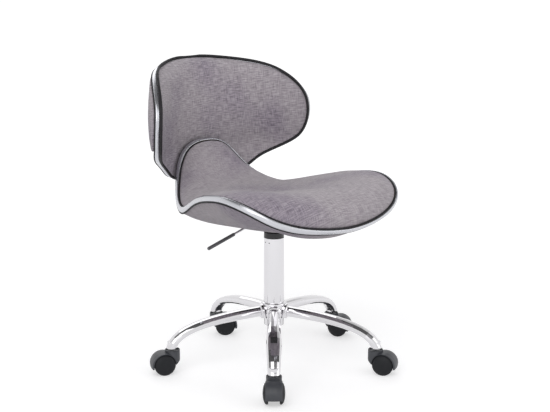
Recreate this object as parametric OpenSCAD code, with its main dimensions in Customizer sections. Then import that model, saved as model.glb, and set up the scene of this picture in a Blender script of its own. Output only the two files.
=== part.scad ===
// Swivel chair with a saddle seat, a winged back, a gas lift and a five-legged castor base.
// Lengths are in millimetres and angles in degrees. Z is up, the origin is on the floor under
// the gas lift, the sitter faces -Y and the sitter's right hand is at -X.

/* [Base] */
// Radius of the circle that the castor stems stand on
stem_circle_r = 259; // [240:1:290]
// Direction of the first leg
base_turn = 230.5; // [0:0.5:359]
// Radius of the hub
hub_r = 30; // [28:0.5:34]
// Height of the hub
hub_h = 40; // [36:1:50]
// Height of the hub's top face above the floor
hub_top = 157; // [150:1:180]
// Width of a leg at its widest
leg_w = 36.5; // [32:0.5:38]
// Thickness of a leg at its middle
leg_t = 21; // [19:0.5:25]
// Wall of the leg tube
leg_wall = 2.2; // [1.6:0.1:3]
// How far the collar at a leg's root stands out from the leg
leg_collar = 5.5; // [3:0.5:6]

/* [Castors] */
// Overall height of a castor, floor to leg
castor_h = 64; // [62:0.5:68]
// Radius of a castor wheel
wheel_r = 26; // [25:0.5:27]
// Thickness of a castor wheel
wheel_w = 13; // [12:0.5:14]
// Height of the dome on a wheel's outer face
wheel_dome = 9.5; // [8:0.5:10]
// Overall width of a castor
castor_w = 52; // [52:0.5:56]
// Width of a castor's hood
hood_w = 39; // [37:0.5:41]
// Distance from the stem to the axle
castor_trail = 21.5; // [19:0.5:23]
// Radius of the stem
stem_r = 5; // [4:0.1:5.5]
// Depth of the stem in the leg
stem_in_leg = 15; // [10:0.5:16]
// Radius of the axle
axle_r = 3; // [2.5:0.1:3.5]

/* [Gas lift] */
// Radius of the column tube
column_r = 25; // [24.5:0.1:25.5]
// Wall of the column tube
column_wall = 2; // [1.5:0.1:2.5]
// Height of the top of the column tube above the floor
column_top = 320; // [300:1:360]
// Height of the plastic collar on the column tube
collar_h = 15; // [10:1:20]
// Radius of the inner gas cylinder
cylinder_r = 14; // [13:0.5:14.5]
// Bore radius of the inner gas cylinder
cylinder_bore_r = 11; // [9:0.5:12]
// Radius of the piston rod
rod_r = 5; // [4:0.1:6]
// Height of the cone that grips the seat plate
cone_h = 27; // [22:0.5:34]
// Travel of the lift
lift_travel = 120; // [80:1:140]

/* [Release lever] */
// Radius of the lever rod
lever_r = 3; // [2.5:0.1:3.5]
// Distance from the gas lift to the lever pin
lever_pin_x = 45; // [38:1:50]
// Radius of the lever pin
lever_pin_r = 2; // [1.5:0.1:2.5]
// Reach of the lever from the gas lift
lever_reach = 201; // [170:1:230]
// Radius of the grip sleeve
sleeve_r = 4.2; // [4.2:0.1:6]
// Length of the grip sleeve
sleeve_l = 78; // [60:1:90]

/* [Seat plate] */
// Side of the square seat plate
plate_side = 130; // [120:1:140]
// Thickness of the seat plate
plate_t = 3; // [2:0.1:4]
// Distance between the plate bolts
bolt_pitch = 100; // [90:1:104]
// Radius of the bolts
bolt_r = 3; // [2.5:0.1:3.5]

/* [Seat] */
// Widest measure across the seat
seat_w = 486; // [440:1:520]
// Length of the seat along its curve, front lip to the top of its tongue
seat_l = 644; // [620:1:660]
// Distance from the gas lift to the front lip
seat_front = 275; // [255:1:290]
// Thickness of the plywood of the seat
seat_ply = 10; // [8:0.5:12]
// Height of the seat cushion's crown above the middle of the plywood
seat_crown = 38; // [30:1:45]
// Depth of the underside cushion below the middle of the plywood
seat_belly = 46; // [36:1:50]

/* [Back] */
// Width of the back, measured round its curve
back_w = 626; // [580:1:660]
// Height of the back along its curve
back_l = 326; // [310:1:345]
// Thickness of the plywood of the back
back_ply = 8; // [7:0.5:9]
// Height of the back cushion's crown above the middle of the plywood
back_crown = 34; // [26:1:40]
// Depth of the rear cushion behind the middle of the plywood
rear_depth = 25; // [20:1:30]
// Distance of the back's lower edge behind the top of the seat's tongue
back_set = 18; // [14:0.5:22]
// Drop of the back's lower edge below the top of the seat's tongue
back_drop = 120; // [110:1:130]

/* [Trim] */
// Height of the metal trim
trim_h = 13; // [12:0.5:15]
// Thickness of the metal trim
trim_t = 5; // [4:0.5:6]
// Radius of the piping on the sitter's side
piping_r = 3; // [2:0.1:3.2]
// Radius of the piping on the underside and behind
rear_piping_r = 2; // [1.5:0.1:2.4]

/* [Hidden] */
$fn = 48;
LEGS = 5;
NUMBERS = ["1", "2", "3", "4", "5"];

// Clearances: welded or seated, running fit, and between pieces that only lie together
seat_gap = 0.1;
run_gap = 0.05;
lie_gap = 0.25;
pad_gap = 0.9;
seat_pad_gap = 0.4;

// Legs: centre line as a cubic curve from the hub to the castor stem
leg_end_z = castor_h + 0.5;
leg_end_r = stem_circle_r + 2.5;
leg_root_r = hub_r - 5;
leg_root_z = hub_top - 22;
leg_root_fall = 4;
leg_end_fall = 70;
leg_root_pull = 110;
leg_end_pull = 58;
// Width and thickness along the leg as shares of the named ones
LEG_WIDTHS = [0.76, 0.80, 0.94, 1, 0.90, 0.81];
LEG_HEIGHTS = [1.22, 1.19, 1.08, 1, 1.02, 1.10];
// Places of the tube's sections along the leg, closer together on its collar, and the collar's
// height there as a share of the full one
LEG_STATIONS = [0, 0.012, 0.022, 0.03, 0.035, 0.038, 0.05, 0.1, 0.17, 0.25, 0.34, 0.43, 0.52, 0.61,
                0.7, 0.78, 0.86, 0.93, 1, 1.06];
COLLAR = [[0, 0.65], [0.012, 1], [0.022, 1], [0.03, 0.9], [0.035, 0.6], [0.038, 0.1], [0.05, 0]];
BORE_STATIONS = [0.005, 0.1, 0.2, 0.3, 0.4, 0.5, 0.6, 0.68, 0.76];
// Upright socket at the leg's end, around the castor's stem
socket_tube_r = 12;
socket_tube_h = 15;

// Castors: direction in which each one trails
CASTOR_TURNS = [base_turn, 302, 300, 330, 157];
hood_r = wheel_r + 5;
hood_back = 1.5;
hood_drop = 1;
hood_crown = 1.3;
hood_post_r = 18.3;
hood_top = castor_h - 4;
hood_low = 18;
recess_r = 15.5;
recess_h = 3;
web_t = 15;
wheel_gap = 1.2;
flange_r = 8.5;
flange_t = 1.6;

// Gas lift levels
column_low = 98;
column_floor = 4;
column_taper = 1;
bearing_h = 8;
buffer_h = 8;
cylinder_low = column_low + column_floor + bearing_h + buffer_h + 0.6;
cone_low = column_top + collar_h + 2;
cylinder_top = cone_low + cone_h;
cone_draw = 0.8;
button_proud = 6;
button_r = 4;
button_top = cylinder_top + button_proud;
piston_low = cylinder_low + lift_travel + 62;

// Lever levels: slopes of its inner and outer arms, and how far it swings
lever_slope = 0.09;
lever_fall = 0.297;
lever_swing = 4;
lever_tip = 6;
lever_z = button_top + lever_r + lever_slope * button_r + 0.3;
pin_z = lever_z - lever_slope * lever_pin_x;
boss_r = lever_r + 2.2;
boss_w = 2 * lever_r + 6;

// Seat plate
plate_low = lever_z + lever_r + 2;
plate_top = plate_low + plate_t;
socket_r = cylinder_r + 5;
ear_t = 3;
ear_gap = 0.4;
well_half = plate_side / 2 + 10;

// Seat: angle of the middle line, curvature across it in turns of 1/1000 per millimetre, and
// the right half of its outline as shares of half the width and of the length
seat_lip_z = plate_top + 6;
SEAT_ANGLES = [51, -3, -13, -2, 7, 40, 93];
SEAT_CURVES = [-1, 1, 1.9, 1.85, -0.2, 0.2, 1.1];
SEAT_OUTLINE = [[0, 0], [0.48, 0.031], [0.83, 0.106], [1, 0.219], [0.984, 0.366], [0.864, 0.537],
                [0.728, 0.683], [0.518, 0.825], [0.276, 0.966], [0, 1]];
// Depth of the underside cushion along the seat, as shares of the belly
SEAT_BELLY = [0.35, 0.62, 0.85, 1, 1.05, 0.75, 0.42, 0.26];

// Back: the same, from its lower edge to its top
BACK_ANGLES = [79, 85, 82, 67];
BACK_CURVES = [4.9, 4.1, 4.2, 5.3];
BACK_OUTLINE = [[0, 0], [0.214, 0.058], [0.403, 0.092], [0.562, 0.184], [0.923, 0.353], [1, 0.617],
                [0.767, 0.807], [0.294, 0.96], [0, 1]];
// Thickness of the two back cushions up the back, as shares of their crowns
BACK_CROWN = [0.2, 0.2, 0.3, 0.75, 1, 1, 1, 0.9];
REAR_CROWN = [0.8, 0.8, 0.85, 0.95, 1, 1, 1, 1];
// The rear cushion's edge, the arch of its lower edge and how high that starts
rear_inset = 8;
rear_wall = 16;
rear_arch_r = 1200;
rear_start = 0.45;

// Rings of the shells and cushions, as shares of the way out to the edge
SEAT_RINGS = [1, 0.9, 0.74, 0.5, 0.25];
BACK_RINGS = [1, 0.9, 0.76, 0.61, 0.46, 0.31, 0.15];
outline_steps = 4;
hub_front = 90;
hub_rear = 70;
shell_inset = trim_t - 0.7;
cushion_inset = 2 * piping_r + 1.4;
under_inset = 2 * rear_piping_r + 1.4;
cushion_wall = 2.5;

// Bolts that join the back to the seat's tongue: their places on the back and their tilt
back_bolt_x = 32;
BACK_BOLT_VS = [72, 98];
back_bolt_tilt = 12;
back_head_r = 5.5;
back_head_h = 3.5;
back_head_seat = 2;
spacer_r = 8;

chrome = [0.82, 0.83, 0.85];
dark = [0.13, 0.13, 0.14];
grey = [0.58, 0.56, 0.59];
ply = [0.76, 0.62, 0.44];
steel = [0.5, 0.51, 0.53];

// Smooth value at share f of the way along equally spaced values or points
function along(list, f) =
    let (n = len(list) - 1, g = min(max(f, 0), 1) * n, i = min(floor(g), n - 1), t = g - i,
         before = i == 0 ? list[1] - list[0] : (list[i + 1] - list[i - 1]) / 2,
         after = i == n - 1 ? list[n] - list[n - 1] : (list[i + 2] - list[i]) / 2)
    list[i] * (2 * pow(t, 3) - 3 * t * t + 1) + before * (pow(t, 3) - 2 * t * t + t)
    + list[i + 1] * (3 * t * t - 2 * pow(t, 3)) + after * (pow(t, 3) - t * t);

// Middle line of a bent board as rows of [distance, y, z, angle]
function middle_line(start, length, angles) =
    let (n = 96, h = length / n)
    [for (i = 0, y = start[0], z = start[1]; i <= n;
          y = y + h * cos(along(angles, (i + 0.5) / n)),
          z = z + h * sin(along(angles, (i + 0.5) / n)),
          i = i + 1)
        [i * h, y, z, along(angles, i / n)]];

// A board: tables of y, z and angle, its curvatures, its length and the rings of its mesh
function board(start, length, angles, curves, rings) =
    let (rows = middle_line(start, length, angles))
    [[for (r = rows) [r[0], r[1]]], [for (r = rows) [r[0], r[2]]], [for (r = rows) [r[0], r[3]]],
     curves, length, rings];

// Point at u across and v along a board, lifted off its middle towards the sitter
function on_board(b, u, v, lift) =
    let (y = lookup(v, b[0]), z = lookup(v, b[1]), a = lookup(v, b[2]),
         c = along(b[3], v / b[4]) / 1000, k = abs(c) < 0.00001 ? 0.00001 : c,
         t = u * k * 180 / PI, r = 1 / k - lift, rise = 1 / k - cos(t) * r)
    [sin(t) * r, y - sin(a) * rise, z + cos(a) * rise];

// Right half of an outline, with extra points between the given ones
function half_outline(points, half_w, length) =
    let (p = [for (q = points) [q[0] * half_w, q[1] * length]], n = len(p) - 1)
    [for (i = [0 : n - 1], s = [0 : outline_steps - 1])
        let (t = s / outline_steps,
             a = i == 0 ? [-p[1][0], p[1][1]] : p[i - 1],
             d = i == n - 1 ? [-p[n - 1][0], p[n - 1][1]] : p[i + 2])
        (2 * p[i] + (p[i + 1] - a) * t + (2 * a - 5 * p[i] + 4 * p[i + 1] - d) * t * t
         + (3 * p[i] - a - 3 * p[i + 1] + d) * pow(t, 3)) / 2,
     p[n]];

// Outward normals of a right half outline
function outline_normals(h) =
    [for (i = [0 : len(h) - 1])
        let (a = i == 0 ? [-h[1][0], h[1][1]] : h[i - 1],
             c = i == len(h) - 1 ? [-h[i - 1][0], h[i - 1][1]] : h[i + 1],
             t = (c - a) / norm(c - a))
        [t[1], -t[0]]];

// Closed list from a right half: up the right side, then down the left
function mirrored(h) =
    concat(h, [for (i = [len(h) - 2 : -1 : 1]) [-h[i][0], h[i][1]]]);

// Closed outline moved inwards
function inset_outline(h, inset) =
    let (n = outline_normals(h)) mirrored([for (i = [0 : len(h) - 1]) h[i] - inset * n[i]]);

// Solid between two lifts over an outline on a board. The rings run in from the outline to a
// middle line between low and high; low_lift and high_lift take the ring's share and v.
module board_solid(b, h, inset, low, high, low_lift, high_lift) {
    n = len(h) - 1;
    p = 2 * n;
    rings = b[5];
    k = len(rings);
    edge = inset_outline(h, inset);
    outer = mirrored(h);
    span = h[n][1] - h[0][1];
    function spine_v(v) = h[0][1] + low + (span - low - high) * (v - h[0][1]) / span;
    function ring_point(r, i) =
        r == 0 ? edge[i]
        : let (m = [0, spine_v(outer[i][1])]) m + rings[r] * (outer[i] - m);
    layer = k * p + n + 1;
    function lifted(q, share, lift) = on_board(b, q[0], q[1], lift(share, q[1] / b[4]));
    points = [for (lift = [high_lift, low_lift])
        each concat(
            [for (r = [0 : k - 1], i = [0 : p - 1]) lifted(ring_point(r, i), rings[r], lift)],
            [for (i = [0 : n]) lifted([0, spine_v(h[i][1])], 0, lift)])];
    function at(s, r, i) = s * layer + (r == k ? k * p + (i % p <= n ? i % p : p - i % p)
                                        : r * p + i % p);
    faces = concat(
        [for (r = [0 : k - 1], i = [0 : p - 1]) each
            [[at(0, r, i), at(0, r + 1, i + 1), at(0, r, i + 1)],
             [at(0, r, i), at(0, r + 1, i), at(0, r + 1, i + 1)],
             [at(1, r, i), at(1, r, i + 1), at(1, r + 1, i + 1)],
             [at(1, r, i), at(1, r + 1, i + 1), at(1, r + 1, i)]]],
        [for (i = [0 : p - 1]) each
            [[at(0, 0, i), at(0, 0, i + 1), at(1, 0, i + 1)],
             [at(0, 0, i), at(1, 0, i + 1), at(1, 0, i)]]]);
    polyhedron(points = points, faces = faces, convexity = 10);
}

// Closed strip along an outline on a board, from a section of [outwards, lift] points
module edge_strip(b, h, section) {
    outer = mirrored(h);
    turns = outline_normals(h);
    n = len(h) - 1;
    normals = concat(turns, [for (i = [n - 1 : -1 : 1]) [-turns[i][0], turns[i][1]]]);
    m = len(section);
    p = len(outer);
    points = [for (i = [0 : p - 1], s = section)
        let (q = outer[i] + s[0] * normals[i]) on_board(b, q[0], q[1], s[1])];
    faces = [for (i = [0 : p - 1], j = [0 : m - 1]) each
        let (a = i * m + j, c = i * m + (j + 1) % m, d = ((i + 1) % p) * m + j,
             e = ((i + 1) % p) * m + (j + 1) % m)
        [[a, c, e], [a, e, d]]];
    polyhedron(points = points, faces = faces, convexity = 10);
}

// Sections of the trim, and of the piping on one side of it
function trim_section() =
    let (e = trim_t, h = trim_h / 2)
    [[1 - e, -h], [-0.8, -h], [1, -h + 2.5], [1, h - 2.5], [-0.8, h], [1 - e, h]];
function piping_section(side) =
    let (r = side > 0 ? piping_r : rear_piping_r)
    [for (i = [0 : 5]) [0.6 - trim_t + r + r * cos(60 * i),
                        side * (trim_h / 2 + r + lie_gap) + r * sin(60 * i)]];

SEAT = board([-seat_front, seat_lip_z], seat_l, SEAT_ANGLES, SEAT_CURVES, SEAT_RINGS);
SEAT_HALF = half_outline(SEAT_OUTLINE, seat_w / 2, seat_l);
TONGUE = on_board(SEAT, 0, seat_l, 0);
BACK_START = [TONGUE[1] + back_set, TONGUE[2] - back_drop];
BACK = board(BACK_START, back_l, BACK_ANGLES, BACK_CURVES, BACK_RINGS);
BACK_HALF = half_outline(BACK_OUTLINE, back_w / 2, back_l);

// Distance along the seat at a given y, on its flat part
SEAT_BY_Y = [for (i = [0 : 60]) SEAT[0][i]];
function seat_v(y) = lookup(y, [for (r = SEAT_BY_Y) [r[1], r[0]]]);
function seat_z(x, y, lift) = on_board(SEAT, x, seat_v(y), lift)[2];

// Centre line of a leg in its own upright plane, as [outwards, up]
function leg_centre(s) =
    let (a = [leg_root_r, leg_root_z], d = [leg_end_r, leg_end_z],
         b = a + leg_root_pull * [cos(leg_root_fall), -sin(leg_root_fall)],
         c = d + leg_end_pull * [-cos(leg_end_fall), sin(leg_end_fall)], r = 1 - s)
    r * r * r * a + 3 * r * r * s * b + 3 * r * s * s * c + s * s * s * d;

// Rounded tube along a leg, with a section at each station, wall inside the leg's own surface
// and with a share of its collar
module leg_sweep(stations, sides, wall, collar) {
    function centre(s) = s > 1 ? leg_centre(1) + (s - 1) * 100 * [cos(leg_end_fall),
                                                                -sin(leg_end_fall)]
                               : leg_centre(s);
    rings = len(stations) - 1;
    points = [for (s = stations, j = [0 : sides - 1])
        let (q = centre(s), t = centre(s + 0.01) - centre(s - 0.01), u = t / norm(t),
             out = collar * lookup(s, COLLAR) - wall,
             w = leg_w / 2 * along(LEG_WIDTHS, s) + out,
             h = leg_t / 2 * along(LEG_HEIGHTS, s) + out,
             c = cos(360 * j / sides), d = sin(360 * j / sides),
             x = sign(c) * pow(abs(c), 0.85) * w, z = sign(d) * pow(abs(d), 0.85) * h)
        [q[0] - u[1] * z, x, q[1] + u[0] * z]];
    faces = concat(
        [for (i = [0 : rings - 1], j = [0 : sides - 1]) each
            let (a = i * sides + j, b = i * sides + (j + 1) % sides, c = a + sides,
                 d = b + sides)
            [[a, c, d], [a, d, b]]],
        [[for (j = [0 : sides - 1]) j], [for (j = [sides - 1 : -1 : 0]) rings * sides + j]]);
    polyhedron(points = points, faces = faces, convexity = 6);
}

module base_hub() {
    color(chrome)
        rotate_extrude()
            difference() {
                union() {
                    translate([column_r - 4, hub_top - hub_h]) square([hub_r - column_r + 1, hub_h]);
                    translate([hub_r - 3.5, hub_top - hub_h + 3]) square([3.5, hub_h - 6]);
                    translate([hub_r - 3, hub_top - 3]) circle(3);
                    translate([hub_r - 3, hub_top - hub_h + 3]) circle(3);
                }
                polygon([[0, hub_top - hub_h - 1],
                         [hub_bore(hub_top - hub_h - 1), hub_top - hub_h - 1],
                         [hub_bore(hub_top + 1), hub_top + 1], [0, hub_top + 1]]);
            }
}

// Radius of the column tube, which narrows below the hub's top, and of the hub's bore
function column_at(z) =
    column_r - column_taper * max(0, hub_top + 1 - z) / (hub_top + 1 - column_low);
function hub_bore(z) = column_at(z) + seat_gap;

module leg(i) {
    rotate([0, 0, base_turn + i * 360 / LEGS])
        color(chrome)
            difference() {
                union() {
                    leg_sweep(LEG_STATIONS, 16, 0, leg_collar);
                    translate([stem_circle_r, 0, leg_end_z])
                        cylinder(r = socket_tube_r, h = socket_tube_h);
                }
                translate([0, 0, hub_top - 80]) cylinder(r = hub_r + seat_gap, h = 120);
                translate([leg_end_r - 50, -50, leg_end_z - 30]) cube([100, 100, 30]);
                leg_sweep(BORE_STATIONS, 8, leg_wall, 0);
                translate([stem_circle_r, 0, leg_end_z - 1])
                    cylinder(r = stem_r + run_gap, h = stem_in_leg + 1.3);
            }
}

// Place of the castor under leg i, trailing along its own +X
module at_castor(i) {
    a = base_turn + i * 360 / LEGS;
    translate([stem_circle_r * cos(a), stem_circle_r * sin(a), 0])
        rotate([0, 0, CASTOR_TURNS[i]]) children();
}

module castor_stem(i) {
    at_castor(i)
        color(steel) {
            translate([0, 0, leg_end_z - seat_gap - 0.5])
                cylinder(r = stem_r, h = stem_in_leg + 0.5);
            translate([0, 0, leg_end_z - seat_gap - flange_t]) cylinder(r = flange_r, h = flange_t);
            translate([0, 0, castor_h - 24]) cylinder(r = stem_r, h = 23);
        }
}

// Half section of the fender around the axle, crowned a little across its width
module fender_section() {
    w = hood_w / 2;
    polygon([[0, -w], [hood_r - hood_crown - 1, -w], [hood_r - hood_crown, -w + 1],
             [hood_r, -w / 3], [hood_r, w / 3], [hood_r - hood_crown, w - 1],
             [hood_r - hood_crown - 1, w], [0, w]]);
}

// A round fender over both wheels and a round post under the leg, cut off low down
module castor_hood(i) {
    at_castor(i)
        color(dark)
            difference() {
                union() {
                    translate([castor_trail + hood_back, 0, wheel_r - hood_drop])
                        rotate([90, 0, 0]) rotate_extrude() fender_section();
                    translate([0, 0, hood_low - 1])
                        cylinder(r = hood_post_r, h = hood_top - hood_low);
                    translate([0, 0, hood_top - 1]) cylinder(r = hood_post_r - 0.7, h = 1);
                }
                translate([0, hood_w, 0]) rotate([90, 0, 0])
                    linear_extrude(2 * hood_w)
                        polygon([[-hood_r, wheel_r + 9], [-hood_post_r, wheel_r + 9],
                                 [castor_trail - wheel_r, wheel_r - 2],
                                 [castor_trail - wheel_r + 10, hood_low], [100, hood_low],
                                 [100, -50], [-hood_r, -50]]);
                for (side = [-1, 1])
                    translate([castor_trail, side * (web_t / 2 + castor_w / 2), wheel_r])
                        rotate([90, 0, 0])
                            cylinder(r = wheel_r + wheel_gap, h = castor_w, center = true);
                translate([castor_trail, 0, wheel_r]) rotate([90, 0, 0])
                    cylinder(r = axle_r + 0.02, h = castor_w, center = true);
                translate([0, 0, castor_h - 24.5]) cylinder(r = stem_r + run_gap, h = 40);
                translate([0, 0, hood_top - recess_h]) cylinder(r = recess_r, h = 10);
            }
}

module castor_axle(i) {
    at_castor(i)
        color(steel)
            translate([castor_trail, 0, wheel_r]) rotate([90, 0, 0])
                cylinder(r = axle_r, h = castor_w - 8, center = true);
}

// Half section of a wheel, measured outwards from the castor's middle plane: a domed outer face,
// a tread with a rounded inner edge, and a hollow around the hub
module wheel_section() {
    out = castor_w / 2;
    inn = out - wheel_w;
    edge_r = 3;
    hub_wall = 4;
    difference() {
        union() {
            polygon([[0, inn], [wheel_r - edge_r, inn],
                     each [for (a = [60 : -30 : 0]) [wheel_r - edge_r + edge_r * cos(a),
                                                     inn + edge_r - edge_r * sin(a)]],
                     each [for (a = [0 : 10 : 80]) [wheel_r * cos(a),
                                                    out - wheel_dome + wheel_dome * sin(a)]],
                     [0, out]]);
            translate([0, web_t / 2 + 0.4]) square([axle_r + hub_wall, out - web_t / 2 - 3]);
        }
        translate([-1, 0]) square([axle_r + 1 + run_gap, out - 3.5]);
        translate([axle_r + hub_wall, inn - 1]) square([wheel_r - axle_r - 2 * hub_wall, 7]);
        translate([-10, 0]) square([10, castor_w]);
    }
}

module wheel(i, side) {
    at_castor(i)
        color(dark)
            translate([castor_trail, 0, wheel_r]) rotate([side * -90, 0, 0])
                rotate_extrude() wheel_section();
}

module column_tube() {
    color(chrome)
        difference() {
            rotate_extrude()
                difference() {
                    polygon([[0, column_low], [column_at(column_low), column_low],
                             [column_r, hub_top + 1], [column_r, column_top], [0, column_top]]);
                    translate([0, column_low + column_floor])
                        square([column_r - column_taper - column_wall, column_top]);
                    translate([0, column_low - 1]) square([rod_r + 0.6, column_floor + 2]);
                }
            for (a = [175, 203])
                rotate([0, 0, a]) translate([column_r - 5, 0, column_top - 10])
                    rotate([0, 90, 0]) cylinder(r = 1.4, h = 10);
        }
}

module guide_bushing() {
    inner_r = column_r - column_taper - column_wall;
    color(dark)
        rotate_extrude()
            difference() {
                union() {
                    translate([cylinder_r + run_gap, column_top - 70])
                        square([inner_r - cylinder_r - run_gap - seat_gap, 70 + collar_h - 2]);
                    translate([cylinder_r + run_gap, column_top + seat_gap])
                        square([column_r - 0.5 - cylinder_r - run_gap, collar_h - 2 - seat_gap]);
                    translate([cylinder_r + run_gap, column_top + collar_h - 2.1])
                        square([column_r - 2.5 - cylinder_r - run_gap, 2.1]);
                    translate([column_r - 2.5, column_top + collar_h - 2]) circle(2);
                }
                translate([inner_r - 1.5, column_top - 12]) square([10, 4]);
            }
}

module thrust_bearing() {
    low = column_low + column_floor + seat_gap;
    track_r = (rod_r + 15) / 2 + 0.5;
    color(steel) {
        for (z = [low, low + bearing_h - 2])
            translate([0, 0, z])
                difference() {
                    cylinder(r = 15, h = 2);
                    translate([0, 0, -1]) cylinder(r = rod_r + 0.4, h = 4);
                }
        for (i = [0 : 8])
            rotate([0, 0, i * 40]) translate([track_r, 0, low + bearing_h / 2])
                sphere(r = bearing_h / 2 - 1.8);
    }
}

module piston_rod() {
    color(steel) {
        translate([0, 0, column_low - 8]) cylinder(r = rod_r, h = piston_low - column_low + 20);
        translate([0, 0, piston_low]) cylinder(r = cylinder_bore_r - run_gap, h = 14);
    }
}

module buffer_ring() {
    color(dark)
        translate([0, 0, column_low + column_floor + bearing_h + seat_gap + 0.2])
            difference() {
                cylinder(r = 12, h = buffer_h);
                translate([0, 0, -1]) cylinder(r = rod_r + run_gap, h = buffer_h + 2);
            }
}

module retaining_clip() {
    color(steel)
        translate([0, 0, column_low - 3.3])
            difference() {
                cylinder(r = 10, h = 3);
                translate([0, 0, -1]) cylinder(r = rod_r + 0.02, h = 5);
            }
}

module gas_cylinder() {
    guide_h = 20;
    color(steel)
        rotate_extrude()
            difference() {
                polygon([[0, cylinder_low], [cylinder_r, cylinder_low], [cylinder_r, cone_low],
                         [cylinder_r - cone_draw, cylinder_top], [0, cylinder_top]]);
                translate([0, cylinder_low - 1]) square([rod_r + run_gap, guide_h + 2]);
                translate([0, cylinder_low + guide_h])
                    square([cylinder_bore_r, cylinder_top - 14 - cylinder_low - guide_h]);
                translate([0, cylinder_top - 20]) square([button_r + run_gap, 30]);
            }
}

module valve_button() {
    color(steel) {
        translate([0, 0, cylinder_top - 17.5]) cylinder(r = button_r, h = 17.5 + button_proud);
        translate([0, 0, cylinder_top - 17.5]) cylinder(r = button_r + 2.5, h = 3);
    }
}

module seat_plate() {
    h = plate_side / 2;
    ear_y = boss_w / 2 + ear_gap;
    color(dark)
        difference() {
            union() {
                translate([-h, -h, plate_low]) cube([plate_side, plate_side, plate_t]);
                for (side = [-1, 1])
                    translate([-h + 8, side * (h - plate_t / 2) - plate_t / 2, plate_low - 9])
                        cube([plate_side - 16, plate_t, 9.5]);
                translate([0, 0, cone_low]) cylinder(r = socket_r, h = plate_low - cone_low + 0.5);
                for (side = [-1, 1])
                    translate([-lever_pin_x - 8, side * (ear_y + ear_t / 2) - ear_t / 2,
                               pin_z - 7])
                        cube([16, ear_t, plate_low - pin_z + 7.5]);
            }
            translate([0, 0, cone_low]) rotate_extrude()
                polygon([[0, -1], [cylinder_r + run_gap + cone_draw / cone_h, -1],
                         [cylinder_r - cone_draw + run_gap, cone_h],
                         [cylinder_r + 1, cone_h + 0.1], [cylinder_r + 1, plate_low - cone_low],
                         [0, plate_low - cone_low]]);
            translate([-socket_r - 5, -lever_r - 1.5, pin_z - lever_r - 2.5])
                cube([socket_r + 5, 2 * lever_r + 3, plate_low - pin_z + lever_r + 2.5]);
            for (x = [-1, 1], y = [-1, 1])
                translate([x * bolt_pitch / 2, y * bolt_pitch / 2, plate_low - 1])
                    cylinder(r = bolt_r + 0.2, h = plate_t + 2);
            translate([-lever_pin_x, 0, pin_z]) rotate([90, 0, 0])
                cylinder(r = lever_pin_r + 0.02, h = 60, center = true);
            for (y = [-1, 1], x = [-1, 1])
                translate([x * h, y * h, plate_low - 1]) rotate([0, 0, 45])
                    cube([16, 16, 20], center = true);
        }
}

// Bolt holes through the seat's plywood above the plate
module plate_holes(r) {
    for (x = [-1, 1], y = [-1, 1])
        translate([x * bolt_pitch / 2, y * bolt_pitch / 2, plate_low]) cylinder(r = r, h = 60);
}

module plate_spacers() {
    color(dark)
        difference() {
            for (x = [-1, 1], y = [-1, 1])
                translate([x * bolt_pitch / 2, y * bolt_pitch / 2, plate_top + seat_gap])
                    cylinder(r = 8, h = 30);
            plate_holes(bolt_r + 0.2);
            board_solid(SEAT, SEAT_HALF, shell_inset, hub_front, hub_rear,
                        function (s, f) -seat_ply / 2 - lie_gap, function (s, f) 60);
        }
}

module plate_bolts() {
    color(steel)
        for (x = [-1, 1], y = [-1, 1]) {
            top = seat_z(x * bolt_pitch / 2, y * bolt_pitch / 2, 1);
            translate([x * bolt_pitch / 2, y * bolt_pitch / 2, 0]) {
                translate([0, 0, plate_low - seat_gap - 4]) cylinder(r = bolt_r * 1.8, h = 4, $fn = 6);
                translate([0, 0, plate_low - 1]) cylinder(r = bolt_r, h = top - plate_low + 1);
            }
        }
}

module lever_pin() {
    w = boss_w + 2 * (ear_gap + ear_t + 1);
    color(steel)
        translate([-lever_pin_x, 0, pin_z]) rotate([90, 0, 0])
            cylinder(r = lever_pin_r, h = w, center = true);
}

// Cylinder between two points in the plane y = 0, given as [x, z]
module bar(a, b, r) {
    d = b - a;
    translate([a[0], 0, a[1]]) rotate([0, atan2(d[0], d[1]), 0]) cylinder(r = r, h = norm(d));
}

// Point of the outer arm's centre line at a given x
function lever_point(x) = [x, pin_z + lever_fall * (x + lever_pin_x)];

module lever_rod() {
    color(chrome)
        difference() {
            union() {
                bar([-lever_pin_x, pin_z], [lever_tip, lever_z + lever_slope * lever_tip], lever_r);
                bar([-lever_pin_x, pin_z], lever_point(8 - lever_reach), lever_r);
                translate([-lever_pin_x, 0, pin_z]) rotate([90, 0, 0])
                    cylinder(r = boss_r, h = boss_w, center = true);
            }
            translate([-lever_pin_x, 0, pin_z]) rotate([90, 0, 0])
                cylinder(r = lever_pin_r + run_gap, h = 30, center = true);
        }
}

module lever_sleeve() {
    a = lever_point(-lever_reach);
    b = lever_point(sleeve_l - lever_reach);
    u = (b - a) / norm(b - a);
    color(dark)
        difference() {
            union() {
                bar(a + 3 * u, b, sleeve_r);
                bar(a + 1 * u, a + 4 * u, sleeve_r - 1.2);
            }
            bar(lever_point(8 - lever_reach) - 0.3 * u, b + 5 * u, lever_r + run_gap);
        }
}

// Distance from a place on the back to the middle of the tongue, along a bolt
function bolt_reach(p) =
    let (first = floor(0.8 * (len(SEAT[0]) - 1)), c = cos(back_bolt_tilt), s = sin(back_bolt_tilt))
    lookup(0, [for (i = [first : len(SEAT[0]) - 1])
        let (y = SEAT[0][i][1] - p[1], z = SEAT[1][i][1] - p[2]) [z * c + y * s, z * s - y * c]]);

// Runs the children at each bolt's place on the back, with Z pointing backwards along it;
// $reach is the distance from there to the middle of the tongue
module at_back_bolts() {
    for (side = [-1, 1], v = BACK_BOLT_VS) {
        p = on_board(BACK, side * back_bolt_x, v, 0);
        $reach = bolt_reach(p);
        translate(p) rotate([-90 - back_bolt_tilt, 0, 0]) children();
    }
}

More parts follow.
